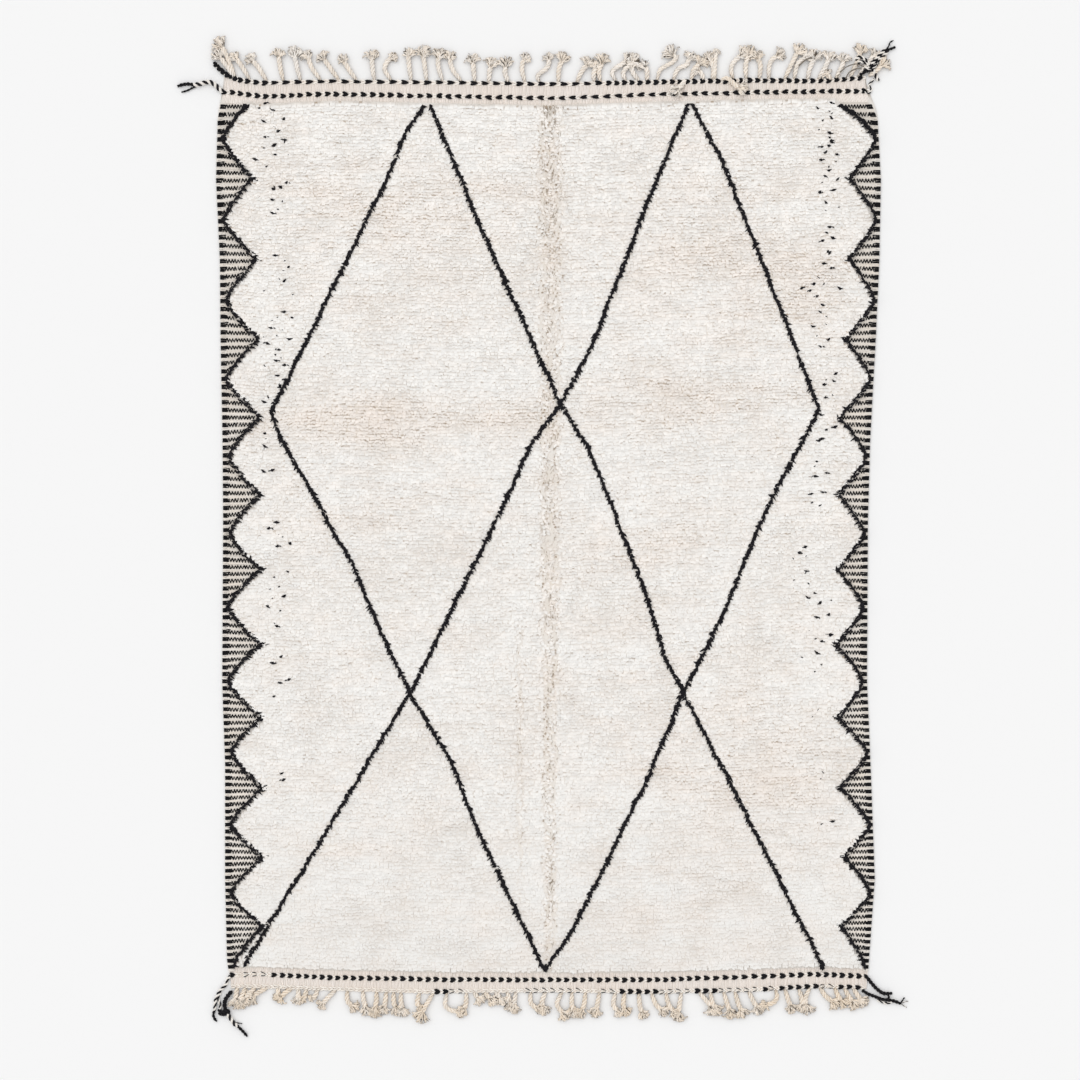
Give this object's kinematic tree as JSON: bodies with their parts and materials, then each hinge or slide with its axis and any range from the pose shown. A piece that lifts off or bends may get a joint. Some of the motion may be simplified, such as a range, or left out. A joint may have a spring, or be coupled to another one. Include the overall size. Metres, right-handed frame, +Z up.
{
  "type": "beni ourain rug",
  "caption": "Hand-knotted ivory pile rug with a dark lozenge lattice, zigzag side borders, flat-woven twined ends and knotted fringe, lying flat.",
  "frame": {"origin": "middle of the whole outline, corner yarns and fringe included, on the floor under the rug", "axes": "+X across the rug's width, +Y along its length towards the end with the longer tassels, +Z up out of the pile"},
  "size_m": [2.2366, 3.0746, 0.022],
  "materials": {
    "ivory_pile": "undyed ivory sheep's wool, knotted pile and flat weave, matt",
    "warp_fringe": "natural twisted warp yarn, matt",
    "black_yarn": "near-black wool yarn, matt"
  },
  "bodies": {
    "root": {"rug_body": "ivory_pile", "fringe_far": "warp_fringe", "fringe_near": "warp_fringe", "corner_yarn": "black_yarn"}
  },
  "joints": []
}
